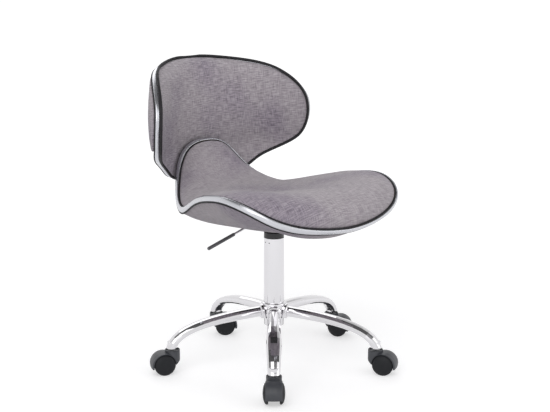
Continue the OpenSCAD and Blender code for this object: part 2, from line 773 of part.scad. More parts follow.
module seat_shell() {
    color(ply)
        difference() {
            board_solid(SEAT, SEAT_HALF, shell_inset, hub_front, hub_rear,
                        function (s, f) -seat_ply / 2, function (s, f) seat_ply / 2);
            plate_holes(bolt_r + 0.2);
            at_back_bolts() translate([0, 0, -$reach - 20]) cylinder(r = bolt_r + 0.2, h = 40);
        }
}

// Lift of a cushion's face: a wall at its edge, then a crown that rises quickly
function crown(s, base, top, power) = base + (top - base) * (1 - pow(s, power));

module seat_cushion() {
    base = seat_ply / 2 + seat_pad_gap;
    color(grey)
        board_solid(SEAT, SEAT_HALF, cushion_inset, hub_front, hub_rear,
                    function (s, f) base,
                    function (s, f) crown(s, base + cushion_wall, seat_crown, 6));
}

module seat_underside() {
    base = seat_ply / 2 + seat_pad_gap;
    slot_w = 2 * sleeve_r + 3;
    color(grey)
        difference() {
            board_solid(SEAT, SEAT_HALF, under_inset, hub_front, hub_rear,
                        function (s, f) -crown(s, base + cushion_wall,
                                               seat_belly * along(SEAT_BELLY, f), 4),
                        function (s, f) -base);
            translate([-well_half, -well_half, plate_low - 60])
                cube([2 * well_half, 2 * well_half, 120]);
            translate([-lever_pin_x, 0, pin_z])
                rotate([0, lever_swing - 90 - atan(lever_fall), 0])
                    translate([-60, -slot_w / 2, 20])
                        cube([60 + sleeve_r + 1.5, slot_w, lever_reach - lever_pin_x - 46]);
            at_back_bolts() translate([0, 0, -$reach]) cylinder(r = spacer_r + 1, h = $reach);
        }
}

module seat_trim() {
    color(chrome) edge_strip(SEAT, SEAT_HALF, trim_section());
}

module seat_piping_top() {
    color(dark) edge_strip(SEAT, SEAT_HALF, piping_section(1));
}

module seat_piping_bottom() {
    color(dark) edge_strip(SEAT, SEAT_HALF, piping_section(-1));
}

module back_shell() {
    color(ply)
        difference() {
            board_solid(BACK, BACK_HALF, shell_inset, hub_front, hub_rear,
                        function (s, f) -back_ply / 2, function (s, f) back_ply / 2);
            at_back_bolts() {
                translate([0, 0, -20]) cylinder(r = bolt_r + 0.2, h = 40);
                translate([0, 0, back_head_seat]) cylinder(r = back_head_r + 0.5, h = 20);
            }
        }
}

module back_cushion() {
    base = back_ply / 2 + pad_gap;
    color(grey)
        difference() {
            board_solid(BACK, BACK_HALF, cushion_inset, hub_front, hub_rear,
                        function (s, f) base,
                        function (s, f) crown(s, base + cushion_wall,
                                              max(base + cushion_wall,
                                                  back_crown * along(BACK_CROWN, f)), 6));
            at_back_bolts() translate([0, 0, -$reach]) cylinder(r = spacer_r + 1, h = $reach);
        }
}

module back_rear_cushion() {
    base = back_ply / 2 + pad_gap;
    start = on_board(BACK, 0, rear_start * back_l, 0);
    color(grey)
        difference() {
            board_solid(BACK, BACK_HALF, rear_inset, hub_front, hub_rear,
                        function (s, f) -crown(s, base + rear_wall,
                                               max(base + rear_wall,
                                                   rear_depth * along(REAR_CROWN, f)), 5),
                        function (s, f) -base);
            translate([0, start[1], start[2] - rear_arch_r]) rotate([90, 0, 0])
                cylinder(r = rear_arch_r, h = 300, center = true, $fn = 720);
        }
}

module back_trim() {
    color(chrome) edge_strip(BACK, BACK_HALF, trim_section());
}

module back_piping_front() {
    color(dark) edge_strip(BACK, BACK_HALF, piping_section(1));
}

module back_piping_rear() {
    color(dark) edge_strip(BACK, BACK_HALF, piping_section(-1));
}

module back_spacers() {
    color(dark)
        difference() {
            at_back_bolts()
                translate([0, 0, -$reach])
                    difference() {
                        cylinder(r = spacer_r, h = $reach);
                        translate([0, 0, -1]) cylinder(r = bolt_r + 0.2, h = $reach + 2);
                    }
            board_solid(SEAT, SEAT_HALF, shell_inset, hub_front, hub_rear,
                        function (s, f) -seat_ply / 2 - lie_gap, function (s, f) 30);
            board_solid(BACK, BACK_HALF, shell_inset, hub_front, hub_rear,
                        function (s, f) -30, function (s, f) back_ply / 2 + lie_gap);
        }
}

module back_bolts() {
    color(chrome)
        at_back_bolts() {
            translate([0, 0, -$reach - seat_ply / 2 + 1.5])
                cylinder(r = bolt_r, h = $reach + seat_ply / 2 - 1 + back_head_seat);
            translate([0, 0, back_head_seat + seat_gap]) {
                cylinder(r = back_head_r, h = back_head_h - 1.5);
                translate([0, 0, back_head_h - 1.5])
                    cylinder(r1 = back_head_r, r2 = back_head_r - 1.5, h = 1.5);
            }
        }
}

base_hub();
for (i = [0 : LEGS - 1]) {
    leg(i);
    castor_stem(i);
    castor_hood(i);
    castor_axle(i);
    wheel(i, 1);
    wheel(i, -1);
}
column_tube();
guide_bushing();
thrust_bearing();
piston_rod();
buffer_ring();
retaining_clip();
gas_cylinder();
valve_button();
seat_plate();
plate_spacers();
plate_bolts();
lever_pin();
lever_rod();
lever_sleeve();
seat_shell();
seat_cushion();
seat_underside();
seat_trim();
seat_piping_top();
seat_piping_bottom();
back_shell();
back_cushion();
back_rear_cushion();
back_trim();
back_piping_front();
back_piping_rear();
back_spacers();
back_bolts();
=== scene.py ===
import math

import bmesh
import bpy
import numpy as np
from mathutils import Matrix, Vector


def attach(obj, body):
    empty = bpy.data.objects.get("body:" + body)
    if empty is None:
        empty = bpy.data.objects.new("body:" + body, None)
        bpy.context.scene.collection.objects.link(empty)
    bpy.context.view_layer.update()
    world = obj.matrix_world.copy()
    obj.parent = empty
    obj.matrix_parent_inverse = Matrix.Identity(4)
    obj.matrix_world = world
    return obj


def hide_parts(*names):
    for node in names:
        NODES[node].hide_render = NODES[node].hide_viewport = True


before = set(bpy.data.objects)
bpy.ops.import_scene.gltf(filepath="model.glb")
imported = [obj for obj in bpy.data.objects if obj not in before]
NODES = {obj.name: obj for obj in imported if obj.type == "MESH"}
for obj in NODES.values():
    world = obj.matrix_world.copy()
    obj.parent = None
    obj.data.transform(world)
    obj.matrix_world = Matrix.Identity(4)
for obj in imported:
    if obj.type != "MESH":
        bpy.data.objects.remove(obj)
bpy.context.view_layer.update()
mm = 0.001


# Camera: where the photograph was taken from
lens_pixels = 1223.45
photo_width = 550
camera_distance = 2.8934
camera_height = 1.0639
camera_turn = math.radians(39.5)
camera_pitch = math.radians(12.97)
camera_aim = 0.0009


def make_camera():
    """The camera that took the photograph, by its solved place."""
    data = bpy.data.cameras.new("camera")
    data.sensor_width = 36.0
    data.lens = lens_pixels / photo_width * data.sensor_width
    camera = bpy.data.objects.new("camera", data)
    camera.location = (-camera_distance * math.sin(camera_turn),
                       -camera_distance * math.cos(camera_turn), camera_height)
    camera.rotation_euler = (math.pi / 2 - camera_pitch, 0, -camera_turn - camera_aim)
    bpy.context.scene.collection.objects.link(camera)
    bpy.context.scene.camera = camera


make_camera()


# Seat and back: the same bent boards as the frame's
plate_top = 381.66 * mm
trim_h = 13 * mm
trim_t = 5 * mm
seat_ply = 10 * mm
seat_crown = 38 * mm
seat_belly = 46 * mm
back_ply = 8 * mm
back_crown = 34 * mm
rear_depth = 13 * mm
rear_wall = 6 * mm
rear_inset = 8 * mm
outline_steps = 28
line_steps = 1200


def along(values, f):
    """Smooth value at share f of the way along equally spaced values."""
    values = np.asarray(values, float)
    n = len(values) - 1
    g = np.clip(f, 0, 1) * n
    i = np.minimum(np.floor(g).astype(int), n - 1)
    t = g - i
    slope = np.empty_like(values)
    slope[0], slope[-1] = values[1] - values[0], values[-1] - values[-2]
    slope[1:-1] = (values[2:] - values[:-2]) / 2
    return (values[i] * (2 * t**3 - 3 * t**2 + 1) + slope[i] * (t**3 - 2 * t**2 + t)
            + values[i + 1] * (3 * t**2 - 2 * t**3) + slope[i + 1] * (t**3 - t**2))


class Board:
    """A bent board: a middle line by its angles, a curvature across it and an outline."""

    def __init__(self, start, length, angles, curves, outline, half_width):
        self.length = length
        self.curves = curves
        self.v = np.linspace(0, length, line_steps + 1)
        step = length / line_steps
        middle = np.radians(along(angles, (np.arange(line_steps) + 0.5) / line_steps))
        self.y = start[0] + np.r_[0, np.cumsum(np.cos(middle))] * step
        self.z = start[1] + np.r_[0, np.cumsum(np.sin(middle))] * step
        self.angle = np.radians(along(angles, self.v / length))
        self.half = self.half_outline(np.array(outline) * [half_width, length])

    @staticmethod
    def half_outline(p):
        """Right half of the outline, with points between the given ones."""
        first, last = [-p[1][0], p[1][1]], [-p[-2][0], p[-2][1]]
        q = np.vstack([first, p, last])
        points = []
        for i in range(1, len(q) - 2):
            a, b, c, d = q[i - 1:i + 3]
            for t in np.arange(outline_steps) / outline_steps:
                points.append((2 * b + (c - a) * t + (2 * a - 5 * b + 4 * c - d) * t * t
                               + (3 * b - a - 3 * c + d) * t**3) / 2)
        points.append(p[-1])
        return np.array(points)

    def rim(self, half=None):
        """Closed outline, up the right side and down the left, with outward normals."""
        h = self.half if half is None else half
        before = np.vstack([[-h[1][0], h[1][1]], h[:-1]])
        after = np.vstack([h[1:], [-h[-2][0], h[-2][1]]])
        t = after - before
        t /= np.linalg.norm(t, axis=1)[:, None]
        out = np.c_[t[:, 1], -t[:, 0]]
        flip = np.array([-1, 1])
        return np.vstack([h, h[-2:0:-1] * flip]), np.vstack([out, out[-2:0:-1] * flip])

    def at(self, u, v, lift):
        """Points at u across and v along, lifted off the middle towards the sitter."""
        y, z = np.interp(v, self.v, self.y), np.interp(v, self.v, self.z)
        a = np.interp(v, self.v, self.angle)
        k = along(self.curves, v / self.length)
        k = np.where(np.abs(k) < 1e-3, 1e-3, k)
        r = 1 / k - lift
        rise = 1 / k - np.cos(u * k) * r
        return np.stack([np.sin(u * k) * r, y - np.sin(a) * rise, z + np.cos(a) * rise], -1)

    def medial(self, rim, low=90 * mm, high=70 * mm):
        """Points on the middle line that the rings run in to, one for each rim point. low and
        high are how far the line's ends keep inside the outline."""
        v0, v1 = rim[:, 1].min(), rim[:, 1].max()
        v = v0 + low + (v1 - v0 - low - high) * (rim[:, 1] - v0) / (v1 - v0)
        return np.c_[np.zeros(len(v)), v]


SEAT = Board([-275 * mm, plate_top + 6 * mm], 644 * mm, [51, -3, -13, -2, 7, 40, 93],
             [-1, 1, 1.9, 1.85, -0.2, 0.2, 1.1],
             [[0, 0], [0.48, 0.031], [0.83, 0.106], [1, 0.219], [0.984, 0.366], [0.864, 0.537],
              [0.728, 0.683], [0.518, 0.825], [0.276, 0.966], [0, 1]], 243 * mm)
TONGUE = SEAT.at(0.0, SEAT.length, 0.0)
BACK = Board([TONGUE[1] + 18 * mm, TONGUE[2] - 120 * mm], 326 * mm, [79, 85, 82, 67],
             [4.9, 4.1, 4.2, 5.3],
             [[0, 0], [0.214, 0.058], [0.403, 0.092], [0.562, 0.184], [0.923, 0.353], [1, 0.617],
              [0.767, 0.807], [0.294, 0.96], [0, 1]], 313 * mm)


# Meshes
def link(obj):
    """The same object, put in the scene."""
    bpy.context.scene.collection.objects.link(obj)
    return obj


def make_mesh(name, points, faces, material, uv=None):
    """A smooth mesh object from numpy points and faces, with a UV map in metres."""
    mesh = bpy.data.meshes.new(name)
    mesh.from_pydata(np.asarray(points).tolist(), [], faces)
    mesh.polygons.foreach_set("use_smooth", [True] * len(mesh.polygons))
    if uv is not None:
        layer = mesh.uv_layers.new(name="cloth")
        corner = np.zeros(len(mesh.loops), np.int32)
        mesh.loops.foreach_get("vertex_index", corner)
        layer.data.foreach_set("uv", np.asarray(uv, np.float32)[corner].ravel())
    mesh.materials.append(material)
    mesh.validate()
    mesh.update()
    return link(bpy.data.objects.new(name, mesh))


def ring_faces(rows, closed_rows=False):
    """Quads of a closed tube of rings, each with the same number of points."""
    faces = []
    count = len(rows) if closed_rows else len(rows) - 1
    for k in range(count):
        a, b = rows[k], rows[(k + 1) % len(rows)]
        n = len(a)
        faces += [(a[i], a[(i + 1) % n], b[(i + 1) % n], b[i]) for i in range(n)]
    return faces


def point_rows(number, count):
    """The points of each ring, where rings of count points follow one another."""
    return [list(range(k * count, (k + 1) * count)) for k in range(number)]


def spine_row(first, middle):
    """A closed row that runs along the middle line's points and back again."""
    return [first + i for i in (*range(middle + 1), *range(middle - 1, 0, -1))]


def swept_rim(board, name, section, material):
    """A strip round a board's rim from a closed section of (outwards, lift) points."""
    rim, out = board.rim()
    count = len(rim)
    rings = [board.at(*(rim + outwards * out).T, np.full(count, lift))
             for outwards, lift in section]
    rows = point_rows(len(section), count)
    faces = [f[::-1] for f in ring_faces(rows, closed_rows=True)]
    lengths = np.r_[0, np.cumsum(np.linalg.norm(np.diff(rings[0], axis=0), axis=1))]
    uv = np.vstack([np.c_[lengths, np.full(count, j / len(section))]
                    for j in range(len(section))])
    return make_mesh(name, np.vstack(rings), faces, material, uv)


# Cushion shapes, in mm: a wall gives inset and lift of the rings at the edge, shoulder how far
# in the next rings lie and overhang how far each may bulge out again. The inner and under rings
# are shares of the way out from the board's middle line.
seat_wall = [(9.4, 0), (9.1, 2.4)]
under_wall = [(5.4, 0), (5.1, 2.2)]
back_wall = [(4.6, 0), (2.7, 2.8)]
slab_wall = [(0.7, 0), (0.15, 1.5), (0, 3), (0.2, 4.3), (0.9, 5.4), (2.1, 6)]
shoulder = np.array([0.4, 1.3, 2.7, 4.7, 7.6, 11.1])
overhang = np.array([1.5, 4.2, 4.8, 4.6, 3.6, 2.0])
inner_rings = np.array([0.93, 0.87, 0.8, 0.72, 0.64, 0.55, 0.46, 0.37, 0.28, 0.19, 0.1])
under_rings = np.array([0.9, 0.7, 0.45, 0.2])
held_rings = 3


def cushion_mesh(board, name, base, top, side, material, wall, power=6, half=None,
                 fullness=0.85, tuck=None):
    """A closed cushion on a board. top(share) gives its crown above the middle; side is 1 on
    the sitter's side and -1 behind. wall holds the inset and lift of its first rings, which rise
    beside the piping before it rolls over. A higher power and a lower fullness make a fuller
    edge. tuck(share) is how far the cloth bulges over the piping, from 0 to 1."""
    rim, out = board.rim(half)
    count = len(rim)
    middle = count // 2
    medial = board.medial(rim)
    reach = np.linalg.norm(rim - medial, axis=1)
    edge = wall[-1][1] * mm
    bulge = tuck(rim[:, 1] / board.length)[:, None] if tuck else np.zeros((count, 1))

    def crown(place, e):
        share = np.clip(1 - e / reach, 0, 1)
        rise = np.maximum(top(place[:, 1] / board.length) - base - edge, 0)
        return base + edge + rise * (1 - share**power)**fullness

    places, lifts = [], []
    for e, lift in wall:
        places.append(rim - e * mm * out)
        lifts.append(np.full(count, base + lift * mm))
    for e, over in zip(shoulder, overhang):
        places.append(rim - ((wall[-1][0] + e) - over * bulge) * mm * out)
        lifts.append(crown(places[-1], e * mm))
    last, run = places[-1], shoulder[-1] * mm
    for share in inner_rings:
        places.append(medial + share * (last - medial))
        lifts.append(crown(places[-1], run + (1 - share) * (reach - run)))
    inner_count = len(places)
    spine = medial[:middle + 1]
    spine_lift = base + edge + np.maximum(top(spine[:, 1] / board.length) - base - edge, 0)
    for share in under_rings:
        places.append(medial + share * (places[0] - medial))
        lifts.append(np.full(count, base))
    points = [board.at(*place.T, side * lift) for place, lift in zip(places, lifts)]
    points.append(board.at(*spine.T, side * spine_lift))
    points.append(board.at(*spine.T, np.full(len(spine), side * base)))
    flat = np.vstack(places + [spine, spine])
    rows = point_rows(len(places), count)
    first = len(places) * count
    upper = rows[:inner_count] + [spine_row(first, middle)]
    lower = [rows[0]] + rows[inner_count:] + [spine_row(first + middle + 1, middle)]
    faces = ring_faces(upper) + [f[::-1] for f in ring_faces(lower)]
    if side < 0:
        faces = [f[::-1] for f in faces]
    piece = make_mesh(name, np.vstack(points), faces, material, flat)
    sewn = piece.vertex_groups.new(name="sewn")
    fixed = [i for row in rows[:len(wall) + held_rings] + lower for i in row]
    sewn.add(sorted(set(fixed)), 1.0, "REPLACE")
    return piece


def soften(mesh, step, held, rounds=6):
    """Averages a displacement over each point's neighbours, with held points kept still."""
    ends = np.zeros(len(mesh.edges) * 2, np.int32)
    mesh.edges.foreach_get("vertices", ends)
    a, b = ends.reshape(-1, 2).T
    ways = np.bincount(a, minlength=len(step)) + np.bincount(b, minlength=len(step))
    for _ in range(rounds):
        total = step.copy()
        for axis in range(3):
            total[:, axis] += np.bincount(a, step[b, axis], len(step))
            total[:, axis] += np.bincount(b, step[a, axis], len(step))
        step = total / (ways + 1)[:, None]
        step[held] = 0
    return step


def inflate(piece, pressure=1.5, cap=3 * mm, frames=12):
    """Blows a cushion up a little with cloth, held at its seam and its lower face, then keeps
    the result. cap is the most that a point may move."""
    mesh = piece.data
    rest = np.zeros(len(mesh.vertices) * 3)
    mesh.vertices.foreach_get("co", rest)
    held = np.array([len(v.groups) > 0 for v in mesh.vertices])
    cloth = piece.modifiers.new("cloth", "CLOTH")
    settings = cloth.settings
    settings.quality = 6
    settings.mass = 0.3
    settings.tension_stiffness = settings.compression_stiffness = 40
    settings.shear_stiffness = 15
    settings.bending_stiffness = 2
    settings.use_pressure = True
    settings.uniform_pressure_force = pressure
    settings.effector_weights.gravity = 0
    settings.vertex_group_mass = "sewn"
    cloth.collision_settings.use_collision = False
    scene = bpy.context.scene
    for number in range(1, frames + 1):
        scene.frame_set(number)
    shown = piece.evaluated_get(bpy.context.evaluated_depsgraph_get())
    moved = np.zeros_like(rest)
    shown.data.vertices.foreach_get("co", moved)
    piece.modifiers.remove(cloth)
    scene.frame_set(1)
    step = (moved - rest).reshape(-1, 3)
    size = np.linalg.norm(step, axis=1)[:, None]
    step *= np.minimum(1, cap / np.maximum(size, 1e-9))
    step = soften(mesh, step, held)
    mesh.vertices.foreach_set("co", (rest.reshape(-1, 3) + step).ravel())
    mesh.update()


# Materials
coarse_slubs = (45, 560)
fine_slubs = (100, 900)


class Finish:
    """A node material with short calls for the nodes that the finishes use."""

    def __init__(self, name, color, roughness, metallic=0.0):
        self.material = bpy.data.materials.new(name)
        self.material.use_nodes = True
        self.tree = self.material.node_tree
        self.shader = self.tree.nodes["Principled BSDF"]
        self.shader.inputs["Base Color"].default_value = (*color, 1)
        self.shader.inputs["Roughness"].default_value = roughness
        self.shader.inputs["Metallic"].default_value = metallic

    def node(self, kind, **inputs):
        node = self.tree.nodes.new(kind)
        for name, value in inputs.items():
            self.set(node, name, value)
        return node

    def set(self, node, name, value):
        """Links or sets an input, given by name, or by number after an underscore."""
        socket = node.inputs[int(name[1:]) if name[0] == "_" else name.replace("_", " ")]
        if isinstance(value, bpy.types.NodeSocket):
            self.tree.links.new(value, socket)
        else:
            socket.default_value = value

    def place(self, uv=False, scale=(1, 1, 1)):
        """Object coordinates, or the piece's own UV map, scaled."""
        coordinates = self.node("ShaderNodeTexCoord").outputs["UV" if uv else "Object"]
        return self.node("ShaderNodeMapping", Vector=coordinates, Scale=scale).outputs["Vector"]

    def noise(self, vector, scale, detail=2.0, rough=0.5):
        node = self.node("ShaderNodeTexNoise", Vector=vector, Scale=scale, Detail=detail,
                         Roughness=rough)
        return node.outputs["Fac"]

    def math(self, operation, a, b=0.0):
        node = self.node("ShaderNodeMath", _0=a, _1=b)
        node.operation = operation
        return node.outputs[0]

    def span(self, value, low, high, to_low, to_high):
        """Value remapped from one range to another."""
        names = ("From_Min", "From_Max", "To_Min", "To_Max")
        node = self.node("ShaderNodeMapRange", Value=value,
                         **dict(zip(names, (low, high, to_low, to_high))))
        return node.outputs["Result"]

    def mix(self, factor, a, b):
        """Colour between a and b."""
        node = self.node("ShaderNodeMix")
        node.data_type = "RGBA"
        for name, value in (("_0", factor), ("_6", a), ("_7", b)):
            self.set(node, name, (*value, 1) if isinstance(value, tuple) else value)
        return node.outputs[2]

    def bump(self, height, distance, strength=1.0):
        node = self.node("ShaderNodeBump", Height=height, Distance=distance, Strength=strength)
        self.tree.links.new(node.outputs["Normal"], self.shader.inputs["Normal"])

    def link(self, value, name):
        self.tree.links.new(value, self.shader.inputs[name])


def upholstery_finish(name, slub):
    """Linen-look weave in grey with a mauve cast, with slubs along both threads, coarse and fine,
    so many to the metre along a thread and across it. slub is the coarse ones' share of the
    colour."""
    f = Finish(name, (0.3, 0.275, 0.3), 0.85)
    thread = 1.1 * mm
    slubs = []
    for along_thread, across_thread in (coarse_slubs, fine_slubs):
        weft = f.noise(f.place(True, (along_thread, across_thread, 1)), 1.0, 2)
        warp = f.noise(f.place(True, (across_thread, along_thread, 1)), 1.0, 2)
        slubs.append(f.math("ADD", f.math("MULTIPLY", weft, 1.2), f.math("MULTIPLY", warp, 0.8)))
    patch = f.noise(f.place(True, (5, 5, 1)), 1.0, 1)
    cloud = f.noise(f.place(True, (55, 55, 1)), 1.0, 3)
    base = f.mix(f.span(patch, 0.46, 0.62, 0, 1), (0.41, 0.37, 0.4), (0.2, 0.16, 0.23))
    coarse = f.mix(f.span(slubs[0], 0.78, 1.24, 0, 1), (0.08, 0.064, 0.084), (0.66, 0.608, 0.65))
    fine = f.mix(f.span(slubs[1], 0.8, 1.25, 0, 1), (0.16, 0.145, 0.165), (0.52, 0.485, 0.505))
    color = f.mix(slub, f.mix(0.3, base, fine), coarse)
    color = f.mix(f.span(cloud, 0.3, 0.75, 0.0, 0.16), color, (0.42, 0.39, 0.41))
    f.link(color, "Base Color")
    waves = []
    for turn in ((1, 0), (0, 1)):
        scale = (turn[0] / thread, turn[1] / thread, 1)
        wave = f.node("ShaderNodeTexWave", Vector=f.place(True, scale), Scale=0.31,
                      Distortion=1.5, Detail=1.0)
        waves.append(wave.outputs["Fac"])
    weave = f.math("ADD", f.math("MULTIPLY", waves[0], 0.5), f.math("MULTIPLY", waves[1], 0.5))
    height = f.math("ADD", weave, f.math("MULTIPLY", slubs[0], 1.2))
    f.bump(height, 0.4 * mm, 0.7)
    f.shader.inputs["Sheen Weight"].default_value = 0.2
    f.shader.inputs["Sheen Roughness"].default_value = 0.45
    f.shader.inputs["Specular IOR Level"].default_value = 0.2
    return f.material


def chrome_finish():
    """Mirror chrome with faint smears and a trace of polishing lines."""
    f = Finish("chrome plate", (0.7, 0.692, 0.71), 0.04, 1.0)
    place = f.place()
    smear = f.noise(place, 9.0, 4)
    f.link(f.span(smear, 0.35, 0.75, 0.025, 0.085), "Roughness")
    f.bump(f.noise(place, 60.0, 1), 0.02 * mm, 0.25)
    return f.material


def trim_finish():
    """Chromed plastic moulding, a little duller and greyer than the plated steel."""
    f = Finish("chromed moulding", (0.56, 0.565, 0.6), 0.2, 0.85)
    place = f.place()
    dull = f.noise(place, 14.0, 3)
    f.link(f.mix(dull, (0.48, 0.485, 0.52), (0.66, 0.665, 0.7)), "Base Color")
    f.link(f.span(dull, 0.3, 0.7, 0.2, 0.34), "Roughness")
    f.bump(f.noise(place, 45.0, 1), 0.12 * mm, 0.4)
    return f.material


def piping_finish():
    """Black cord cover with a fine cloth grain."""
    f = Finish("piping cover", (0.012, 0.012, 0.014), 0.6)
    grain = f.noise(f.place(), 900.0, 2)
    f.link(f.mix(grain, (0.01, 0.01, 0.011), (0.03, 0.028, 0.032)), "Base Color")
    f.link(f.span(f.noise(f.place(), 120.0, 2), 0.3, 0.7, 0.5, 0.75), "Roughness")
    f.bump(grain, 0.2 * mm, 0.5)
    f.shader.inputs["Specular IOR Level"].default_value = 0.25
    return f.material


def plastic_finish(name, low, high, roughness, shine=0.5, grain=0.08 * mm):
    """Moulded plastic with a fine spark-eroded grain."""
    f = Finish(name, low, roughness)
    f.shader.inputs["Specular IOR Level"].default_value = shine
    place = f.place()
    f.link(f.mix(f.noise(place, 18.0, 4), low, high), "Base Color")
    f.link(f.span(f.noise(place, 40.0, 3), 0.3, 0.7, roughness - 0.06, roughness + 0.08),
           "Roughness")
    f.bump(f.noise(place, 1800.0, 1), grain, 0.35)
    return f.material


def paint_finish():
    """Black powder coat with a light orange-peel."""
    f = Finish("black powder coat", (0.022, 0.022, 0.024), 0.42)
    place = f.place()
    f.link(f.mix(f.noise(place, 30.0, 3), (0.016, 0.016, 0.018), (0.034, 0.034, 0.036)),
           "Base Color")
    f.bump(f.noise(place, 420.0, 1), 0.1 * mm, 0.4)
    return f.material


def steel_finish():
    """Zinc-plated steel, drawn along its length."""
    f = Finish("zinc-plated steel", (0.6, 0.61, 0.63), 0.3, 1.0)
    place = f.place(scale=(1, 1, 0.15))
    f.link(f.mix(f.noise(place, 70.0, 3), (0.52, 0.53, 0.55), (0.68, 0.69, 0.7)), "Base Color")
    f.link(f.span(f.noise(place, 160.0, 2), 0.3, 0.7, 0.22, 0.42), "Roughness")
    return f.material


def plywood_finish():
    """Birch plywood, with grain along the seat."""
    f = Finish("birch plywood", (0.6, 0.45, 0.29), 0.55)
    grain = f.noise(f.place(scale=(60, 4, 4)), 1.0, 4)
    f.link(f.mix(grain, (0.66, 0.51, 0.34), (0.47, 0.33, 0.2)), "Base Color")
    f.bump(grain, 0.1 * mm, 0.3)
    return f.material


def rubber_finish():
    """Dull black rubber with a fine skin."""
    f = Finish("buffer rubber", (0.02, 0.02, 0.021), 0.6)
    place = f.place()
    f.link(f.mix(f.noise(place, 50.0, 3), (0.015, 0.015, 0.016), (0.03, 0.03, 0.031)),
           "Base Color")
    f.bump(f.noise(place, 900.0, 1), 0.05 * mm, 0.3)
    return f.material


WEAVE = upholstery_finish("back weave", 0.46)
SEAT_WEAVE = upholstery_finish("seat weave", 0.35)
CHROME = chrome_finish()
MOULDING = trim_finish()
PIPING = piping_finish()
COLLAR = plastic_finish("collar plastic", (0.012, 0.012, 0.013), (0.02, 0.02, 0.022), 0.38)
SLEEVE = plastic_finish("lever sleeve plastic", (0.075, 0.075, 0.08), (0.11, 0.11, 0.116), 0.3)
HOOD = plastic_finish("castor hood plastic", (0.038, 0.04, 0.048), (0.056, 0.059, 0.068), 0.42)
WHEEL = plastic_finish("castor wheel plastic", (0.009, 0.01, 0.012), (0.016, 0.017, 0.02), 0.55,
                       shine=0.25)
PAINT = paint_finish()
STEEL = steel_finish()
PLYWOOD = plywood_finish()
RUBBER = rubber_finish()


leg_count = 5


def finish_node(name, material):
    """Gives one of the frame's nodes its material."""
    mesh = NODES[name].data
    mesh.materials.clear()
    mesh.materials.append(material)


def finish_nodes():
    """Gives every hard part its material."""
    plain = {"base_hub": CHROME, "column_tube": CHROME, "lever_rod": CHROME,
             "back_bolts": CHROME, "guide_bushing": COLLAR, "lever_sleeve": SLEEVE,
             "plate_spacers": COLLAR, "back_spacers": COLLAR, "thrust_bearing": STEEL,
             "piston_rod": STEEL, "retaining_clip": STEEL, "plate_bolts": STEEL,
             "lever_pin": STEEL, "valve_button": STEEL, "buffer_ring": RUBBER,
             "gas_cylinder": PAINT, "seat_plate": PAINT, "seat_shell": PLYWOOD}
    for name, material in plain.items():
        finish_node(name, material)
    numbered = {"leg": CHROME, "castor_stem": STEEL, "castor_axle": STEEL, "castor_hood": HOOD,
                "wheel_left": WHEEL, "wheel_right": WHEEL}
    for i in range(1, leg_count + 1):
        for name, material in numbered.items():
            finish_node(f"{name}_{i}", material)


finish_nodes()


# Cushions
lie_gap = 0.25 * mm
seat_pad_gap = 0.4 * mm
back_pad_gap = 0.9 * mm
rear_start = 0.45
arch_r = 1200 * mm
arch_between = (0.15, 0.8)
arch_points = 300
arch_search_points = 800
slab_points = 230
slab_smoothing = 6


def seat_top(f):
    return np.full_like(f, seat_crown)


def seat_bottom(f):
    return seat_belly * along([1.5, 1.22, 1.16, 1, 0.98, 0.66, 0.4, 0.24], f)


def back_front(f):
    return back_crown * along([0.2, 0.2, 0.3, 0.75, 1, 1, 1, 0.9], f)


def seat_tuck(f):
    """Where the seat's cloth bulges over its piping: at the hips and over the tongue."""
    return np.clip(along([0, 0, 0.6, 0.8, 0.4, 0, 0, 1], f), 0, 1)


def rear_top(f):
    return rear_depth * along([0.8, 0.8, 0.85, 0.95, 1, 1, 1, 1], f)


def slab_outline():
    """Right half of the rear slab's outline: the back's, drawn in, above a wide arch."""
    h = BACK.half
    out = BACK.rim()[1][:len(h)]
    drawn = h - rear_inset * out
    crest = BACK.at(0.0, rear_start * BACK.length, 0.0)
    v = np.linspace(*arch_between, arch_search_points) * BACK.length
    arch = []
    for u in np.linspace(0, h[:, 0].max(), arch_points):
        x, _, z = BACK.at(np.full(len(v), u), v, np.full(len(v), -rear_wall)).T
        gap = z - (crest[2] - arch_r + np.sqrt(arch_r**2 - x**2))
        arch.append((u, np.interp(0, gap, v)))
    arch = np.array(arch)
    keep = drawn[:, 1] > np.interp(drawn[:, 0], *arch.T)
    low = arch[arch[:, 0] < drawn[keep][0, 0] - 1 * mm]
    line = np.vstack([low, drawn[keep]])
    run = np.r_[0, np.cumsum(np.linalg.norm(np.diff(line, axis=0), axis=1))]
    even = np.linspace(0, run[-1], slab_points)
    line = np.c_[np.interp(even, run, line[:, 0]), np.interp(even, run, line[:, 1])]
    for _ in range(slab_smoothing):
        line[1:-1] = (line[:-2] + 2 * line[1:-1] + line[2:]) / 4
    line[0, 0] = line[-1, 0] = 0
    return line


seat_cushion = cushion_mesh(SEAT, "seat_top_cushion", seat_ply / 2 + seat_pad_gap, seat_top, 1,
                            SEAT_WEAVE, seat_wall, tuck=seat_tuck)
seat_under = cushion_mesh(SEAT, "seat_under_cushion", seat_ply / 2 + seat_pad_gap, seat_bottom,
                          -1, SEAT_WEAVE, under_wall, power=4, fullness=0.9)
back_cushion = cushion_mesh(BACK, "back_front_cushion", back_ply / 2 + back_pad_gap, back_front, 1,
                            WEAVE, back_wall)
rear_cushion = cushion_mesh(BACK, "back_rear_slab", back_ply / 2 + back_pad_gap, rear_top, -1,
                            WEAVE, slab_wall, power=5, half=slab_outline())


